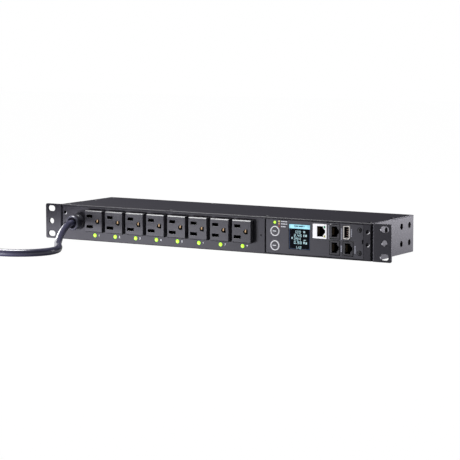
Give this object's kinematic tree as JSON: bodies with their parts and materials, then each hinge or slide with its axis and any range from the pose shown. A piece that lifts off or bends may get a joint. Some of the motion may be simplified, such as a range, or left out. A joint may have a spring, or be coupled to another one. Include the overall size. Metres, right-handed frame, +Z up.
{
  "type": "rack power strip",
  "caption": "Flat metal rack unit with a row of mains outlets, a control module with display and data sockets, rack ears and a coiled mains lead.",
  "frame": {"origin": "centre of the unit's footprint, on its underside; the mains lead isn't counted", "axes": "+X to the right along the rack's width, seen from the front; +Y from the front panel into the rack; +Z up"},
  "size_m": [0.6035, 0.2946, 0.0572],
  "materials": {
    "charcoal_paint": "fine-textured satin charcoal powder coat",
    "module_paint": "fine-textured satin charcoal paint, a little lighter",
    "screw_steel": "black oxide screws",
    "outlet_plastic": "moulded charcoal nylon, light grain",
    "brass": "bright stamped brass",
    "lamp_plastic": "clear light pipe, lit green",
    "relay_plastic": "moulded relay case",
    "board_laminate": "green solder-masked glass-epoxy board",
    "supply_plastic": "tape-wrapped transformer",
    "terminal_plastic": "green terminal block",
    "display_glass": "gloss display window, dark blue, lit figures",
    "button_plastic": "charcoal key with a printed white ring",
    "jack_plastic": "black nylon socket",
    "shield_steel": "bright tinned steel shield",
    "gland_plastic": "black nylon strain relief",
    "cord_jacket": "gloss black vinyl jacket",
    "plug_vinyl": "moulded black vinyl",
    "blade_brass": "nickel-plated brass blades"
  },
  "bodies": {
    "unit": {"chassis_tray": "charcoal_paint", "control_board": "board_laminate", "cord_coil": "cord_jacket", "cord_gland": "gland_plastic", "display_module": "display_glass", "earth_bus": "brass", "ethernet_jack": "shield_steel", "left_ear": "charcoal_paint", "left_ear_screw_1": "screw_steel", "left_ear_screw_2": "screw_steel", "left_ear_screw_3": "screw_steel", "left_ear_screw_4": "screw_steel", "line_contact_1": "brass", "line_contact_2": "brass", "line_contact_3": "brass", "line_contact_4": "brass", "line_contact_5": "brass", "line_contact_6": "brass", "line_contact_7": "brass", "line_contact_8": "brass", "modular_jack_lower_left": "jack_plastic", "modular_jack_lower_right": "jack_plastic", "modular_jack_upper": "jack_plastic", "module_plate": "module_paint", "neutral_bus": "brass", "outlet_1": "outlet_plastic", "outlet_2": "outlet_plastic", "outlet_3": "outlet_plastic", "outlet_4": "outlet_plastic", "outlet_5": "outlet_plastic", "outlet_6": "outlet_plastic", "outlet_7": "outlet_plastic", "outlet_8": "outlet_plastic", "outlet_lamp_pipe": "lamp_plastic", "plug_body": "plug_vinyl", "plug_earth_pin": "blade_brass", "plug_line_blade": "blade_brass", "plug_neutral_blade": "blade_brass", "power_board": "board_laminate", "power_cord": "cord_jacket", "power_supply": "supply_plastic", "relay_1": "relay_plastic", "relay_2": "relay_plastic", "relay_3": "relay_plastic", "relay_4": "relay_plastic", "relay_5": "relay_plastic", "relay_6": "relay_plastic", "relay_7": "relay_plastic", "relay_8": "relay_plastic", "right_ear": "charcoal_paint", "right_ear_screw_1": "screw_steel", "right_ear_screw_2": "screw_steel", "right_ear_screw_3": "screw_steel", "right_ear_screw_4": "screw_steel", "status_light": "lamp_plastic", "terminal_block": "terminal_plastic", "top_cover": "charcoal_paint", "usb_port": "shield_steel"},
    "upper_button": {"button_upper": "button_plastic"},
    "lower_button": {"button_lower": "button_plastic"}
  },
  "joints": [
    {"name": "upper_button_press", "type": "slide", "parent": "unit", "child": "upper_button", "axis": [0, 1, 0], "range_m": [0, 0.0006], "stiffness_N_per_m": 1500},
    {"name": "lower_button_press", "type": "slide", "parent": "unit", "child": "lower_button", "axis": [0, 1, 0], "range_m": [0, 0.0006], "stiffness_N_per_m": 1500}
  ]
}
